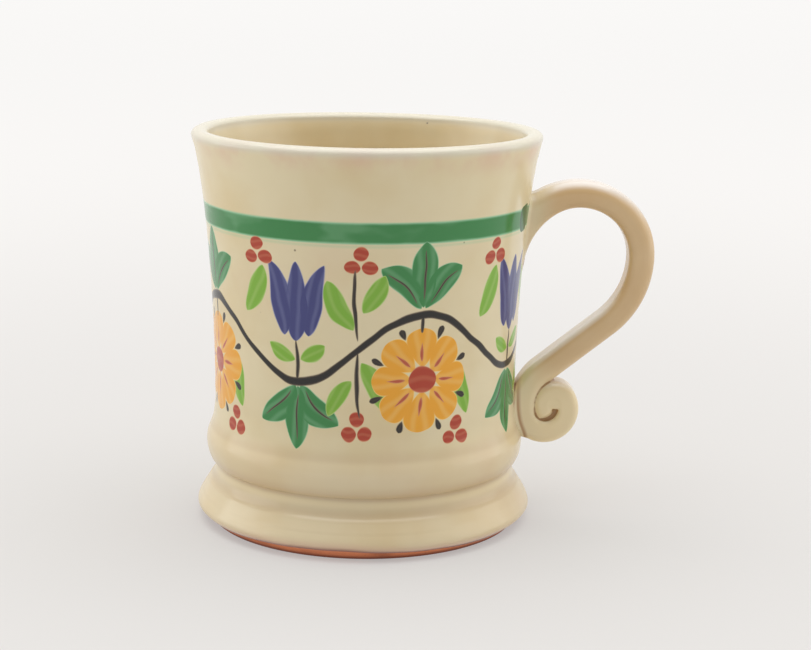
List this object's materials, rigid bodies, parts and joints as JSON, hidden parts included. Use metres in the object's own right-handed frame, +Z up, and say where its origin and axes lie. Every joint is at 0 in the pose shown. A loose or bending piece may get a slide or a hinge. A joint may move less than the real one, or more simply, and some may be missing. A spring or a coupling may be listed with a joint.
{
  "type": "coffee mug",
  "caption": "Thrown earthenware coffee mug with a flared rim, a beaded foot, a scrolled strap handle and a cream tin glaze painted with a flower frieze",
  "frame": {"origin": "centre of the flat base that the mug stands on", "axes": "+Z up along the mug's axis, the handle along +X, the pictured side faces -Y"},
  "size_m": [0.1205, 0.0904, 0.1026],
  "materials": {
    "terracotta": "bare fired earthenware, matt, fine grained",
    "slip": "fired joining slip, matt",
    "painted_glaze": "cream tin glaze, glossy, with brush-painted in-glaze colours",
    "tin_glaze": "cream tin glaze, glossy, slightly mottled"
  },
  "bodies": {
    "root": {"clay_body": "terracotta", "handle_strap": "terracotta", "upper_slip_joint": "slip", "lower_slip_joint": "slip", "outer_glaze": "painted_glaze", "inner_glaze": "tin_glaze", "handle_glaze": "tin_glaze"}
  },
  "joints": []
}
